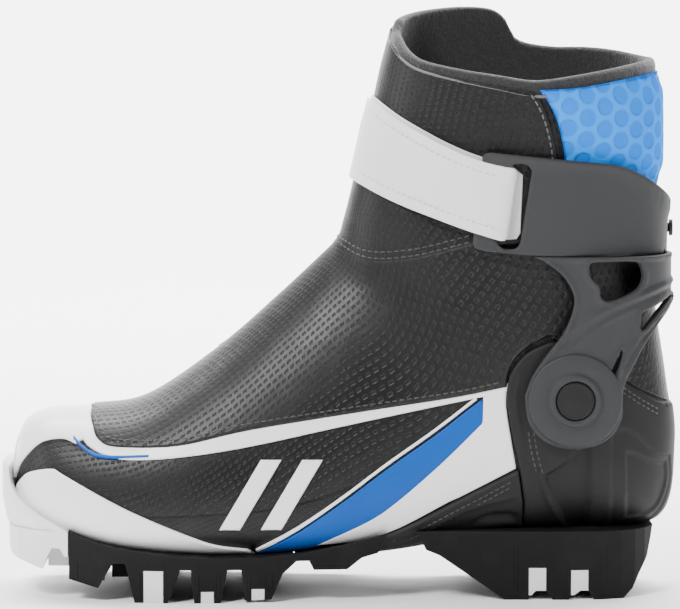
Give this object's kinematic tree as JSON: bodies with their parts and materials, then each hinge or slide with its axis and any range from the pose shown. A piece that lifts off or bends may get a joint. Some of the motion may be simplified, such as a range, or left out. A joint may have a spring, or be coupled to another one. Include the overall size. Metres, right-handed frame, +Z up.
{
  "type": "cross country ski boot",
  "caption": "Left cross country skating boot with a turning ankle cuff, hook-and-loop strap, zipped lace cover and bar-and-groove ski sole.",
  "frame": {"origin": "ground point at the middle of the boot's length and width", "axes": "-X towards the toe, +X towards the heel, -Y towards the outer (lateral) side of this left boot, +Y towards the inner (medial) side, +Z up"},
  "size_m": [0.2987, 0.0975, 0.2578],
  "materials": {
    "softshell": "black coated softshell with a small woven grid",
    "fleece": "black brushed fleece lining",
    "white_film": "white welded film, satin",
    "blue_film": "blue welded film, satin",
    "collar_foam": "bright blue stretch fabric with embossed honeycomb over foam",
    "moulded_cuff": "dark grey moulded plastic, fine grain",
    "moulded_counter": "charcoal moulded plastic, fine grain",
    "sole_rubber": "black moulded rubber",
    "white_rubber": "white hard rubber, satin",
    "strap_web": "white coated hook-and-loop webbing with edge stitching",
    "steel": "plain steel"
  },
  "bodies": {
    "boot": {"ankle_flex_fold": "softshell", "ankle_pin_lateral": "moulded_counter", "ankle_pin_medial": "moulded_counter", "binding_bar_front": "steel", "binding_bar_rear": "steel", "blue_stripe_lateral": "blue_film", "blue_stripe_medial": "blue_film", "forefoot_sole": "sole_rubber", "heel_counter": "moulded_counter", "heel_panel": "softshell", "heel_sole": "sole_rubber", "insole": "fleece", "lace_cover": "softshell", "mark_1": "white_film", "mark_2": "white_film", "shank": "moulded_counter", "toe_bumper": "white_rubber", "tread_insert_front_1_lateral": "white_rubber", "tread_insert_front_1_medial": "white_rubber", "tread_insert_front_2_lateral": "white_rubber", "tread_insert_front_2_medial": "white_rubber", "tread_insert_front_3_lateral": "white_rubber", "tread_insert_front_3_medial": "white_rubber", "tread_insert_heel_1_lateral": "white_rubber", "tread_insert_heel_1_medial": "white_rubber", "tread_insert_heel_2_lateral": "white_rubber", "tread_insert_heel_2_medial": "white_rubber", "upper": "softshell", "white_film": "white_film", "zip_tape": "softshell"},
    "cuff": {"cuff": "moulded_cuff", "band": "moulded_cuff", "band_screw": "steel", "collar_lining": "fleece", "collar_front": "softshell", "collar_pad": "collar_foam", "strap_base": "strap_web", "strap_rivet": "steel"},
    "strap": {"strap_flap": "strap_web"},
    "zip_slider": {"zip_slider": "steel"},
    "zip_pull": {"zip_pull": "steel"}
  },
  "joints": [
    {"name": "cuff_flex", "type": "hinge", "parent": "boot", "child": "cuff", "pos_m": [0.1025, 0, 0.088], "axis": [0, -1, 0], "range_deg": [-5, 15], "deforming": ["ankle_flex_fold", "lace_cover"]},
    {"name": "strap_peel", "type": "hinge", "parent": "cuff", "child": "strap", "pos_m": [0.07497, -0.04321, 0.173], "axis": [0.1378, -0.0579, 0.9888], "range_deg": [0, 100]},
    {"name": "zip_slide", "type": "slide", "parent": "boot", "child": "zip_slider", "axis": [-0.8237, 0.0818, -0.5611], "range_m": [0, 0.045]},
    {"name": "zip_pull_flip", "type": "hinge", "parent": "zip_slider", "child": "zip_pull", "pos_m": [-0.03676, 0.02075, 0.11643], "axis": [0.3893, 0.801, -0.4548], "range_deg": [0, 100]}
  ]
}
